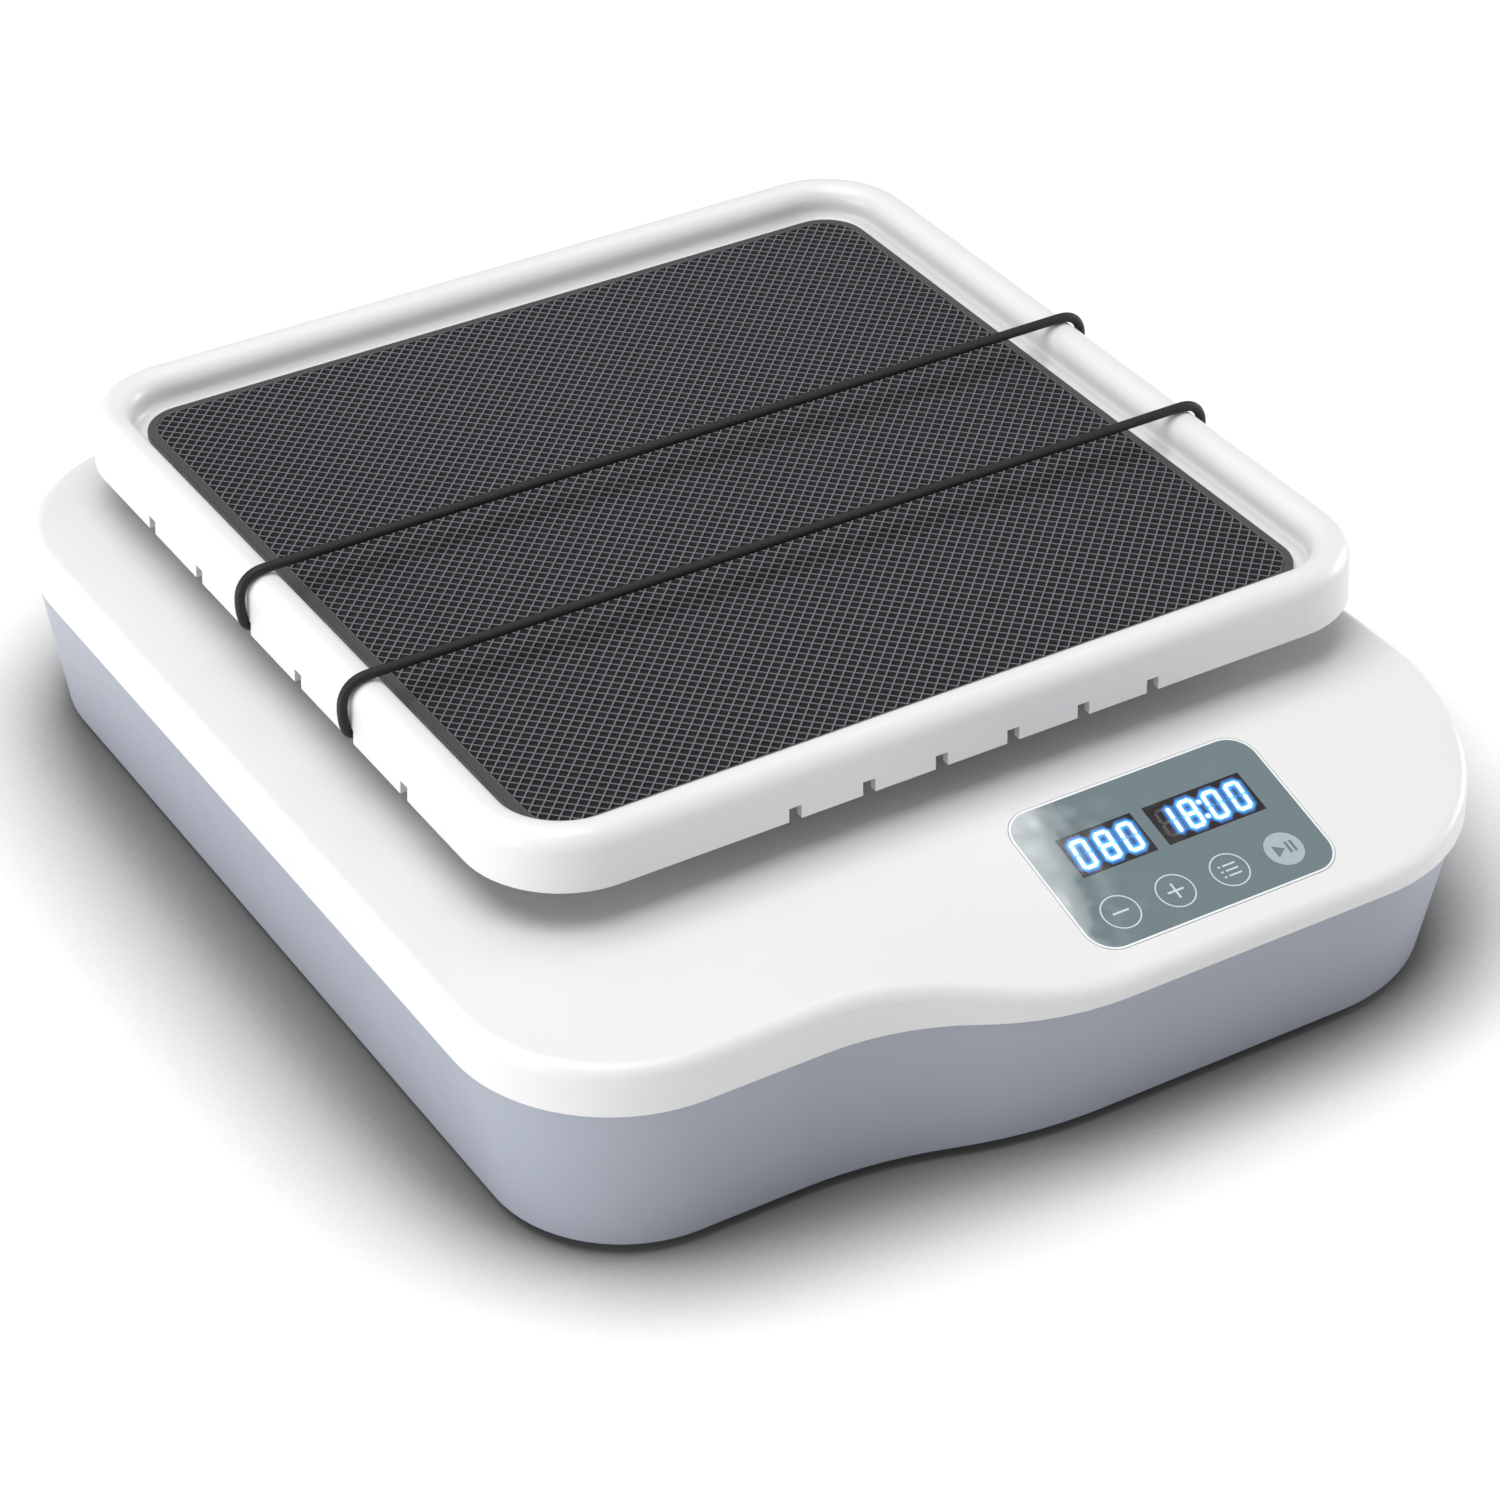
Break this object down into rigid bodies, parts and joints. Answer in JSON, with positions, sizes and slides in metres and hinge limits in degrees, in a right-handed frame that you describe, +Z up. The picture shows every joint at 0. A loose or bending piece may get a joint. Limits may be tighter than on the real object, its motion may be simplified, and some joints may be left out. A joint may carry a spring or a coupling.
{
  "type": "orbital gel shaker",
  "caption": "Bench shaker: a low base with a sloping control nose carries a square rimmed tray with a rubber mat and a stretched elastic cord, driven round a small circle by an eccentric crank.",
  "frame": {"origin": "on the table, under the middle of the base", "axes": "+Z up; +Y towards the back; the controls are on the nose at -Y, right of the middle (+X)"},
  "size_m": [0.331, 0.386, 0.1059],
  "materials": {
    "white_plastic": "satin gloss moulded white",
    "grey_plastic": "satin moulded grey with a blue cast",
    "mat_rubber": "dull dark grey rubber with a fine diagonal waffle",
    "black_rubber": "dull",
    "elastic": "woven black cover over rubber strands",
    "steel": "turned and plated",
    "aluminium": "turned",
    "bronze": "sintered bearing bronze",
    "pad_metal": "plated spring pads",
    "panel_lens": "tinted lens with printed pale marks",
    "display": "dark window",
    "circuit_board": "green solder mask",
    "black_plastic": "moulded black",
    "motor_paint": "black painted can"
  },
  "bodies": {
    "base": {"base_housing": "grey_plastic", "top_cover": "white_plastic", "deck_plate": "steel", "deck_screws": "steel", "cover_screws": "steel", "rubber_feet": "black_rubber", "foot_screws": "steel", "control_panel": "panel_lens", "speed_display": "display", "timer_display": "display", "touch_pads": "pad_metal", "control_board": "circuit_board", "board_screws": "steel", "driver_board": "circuit_board", "driver_board_parts": "black_plastic", "bearing_housing": "aluminium", "bearing_housing_screws": "steel", "lower_bearing_outer": "steel", "upper_bearing_outer": "steel", "shaft_seal": "black_rubber", "motor_body": "motor_paint", "motor_screws": "steel", "drive_belt": "black_rubber", "idler_housing_front_left": "black_plastic", "idler_housing_front_right": "black_plastic", "idler_housing_rear_left": "black_plastic", "idler_housing_rear_right": "black_plastic", "idler_sleeve_front_left": "bronze", "idler_sleeve_front_right": "bronze", "idler_sleeve_rear_left": "bronze", "idler_sleeve_rear_right": "bronze", "idler_screws": "steel", "switch_frame": "black_plastic", "dc_inlet": "black_plastic", "dc_inlet_nut": "steel"},
    "crank": {"main_shaft": "steel", "shaft_clip": "steel", "lower_bearing_inner": "steel", "upper_bearing_inner": "steel", "driven_pulley": "black_plastic", "crank_disc": "steel", "crank_pin": "steel", "tray_bearing_inner": "steel"},
    "tray": {"tray_pan": "white_plastic", "tray_hub": "aluminium", "tray_bearing_outer": "steel", "tray_hub_screws": "steel", "tray_bush_front_left": "bronze", "tray_bush_front_right": "bronze", "tray_bush_rear_left": "bronze", "tray_bush_rear_right": "bronze", "anti_slip_mat": "mat_rubber", "elastic_cord": "elastic"},
    "rotor": {"motor_shaft": "steel", "motor_pulley": "aluminium"},
    "idler_front_left": {"idler_crank_front_left": "steel"},
    "idler_front_right": {"idler_crank_front_right": "steel"},
    "idler_rear_left": {"idler_crank_rear_left": "steel"},
    "idler_rear_right": {"idler_crank_rear_right": "steel"},
    "rocker": {"power_rocker": "black_plastic"}
  },
  "joints": [
    {"name": "crank_spin", "type": "hinge", "parent": "base", "child": "crank", "pos_m": [0, 0.033, 0], "axis": [0, 0, 1], "continuous": true},
    {"name": "tray_orbit", "type": "hinge", "parent": "crank", "child": "tray", "pos_m": [0.0125, 0.033, 0], "axis": [0, 0, 1], "continuous": true},
    {"name": "idler_front_left_spin", "type": "hinge", "parent": "base", "child": "idler_front_left", "pos_m": [-0.095, -0.062, 0], "axis": [0, 0, 1], "continuous": true},
    {"name": "idler_front_right_spin", "type": "hinge", "parent": "base", "child": "idler_front_right", "pos_m": [0.095, -0.062, 0], "axis": [0, 0, 1], "continuous": true},
    {"name": "idler_rear_left_spin", "type": "hinge", "parent": "base", "child": "idler_rear_left", "pos_m": [-0.095, 0.128, 0], "axis": [0, 0, 1], "continuous": true},
    {"name": "idler_rear_right_spin", "type": "hinge", "parent": "base", "child": "idler_rear_right", "pos_m": [0.095, 0.128, 0], "axis": [0, 0, 1], "continuous": true},
    {"name": "motor_spin", "type": "hinge", "parent": "base", "child": "rotor", "pos_m": [0, -0.075, 0], "axis": [0, 0, 1], "continuous": true},
    {"name": "power_switch_tilt", "type": "hinge", "parent": "base", "child": "rocker", "pos_m": [0.085, 0.1865, 0.03], "axis": [0, 0, 1], "range_deg": [-16, 0]}
  ],
  "couplings": [
    {"joint": "tray_orbit", "follows": "crank_spin", "ratio": -1},
    {"joint": "idler_front_left_spin", "follows": "crank_spin", "ratio": 1},
    {"joint": "idler_front_right_spin", "follows": "crank_spin", "ratio": 1},
    {"joint": "idler_rear_left_spin", "follows": "crank_spin", "ratio": 1},
    {"joint": "idler_rear_right_spin", "follows": "crank_spin", "ratio": 1},
    {"joint": "motor_spin", "follows": "crank_spin", "ratio": 3.75}
  ]
}
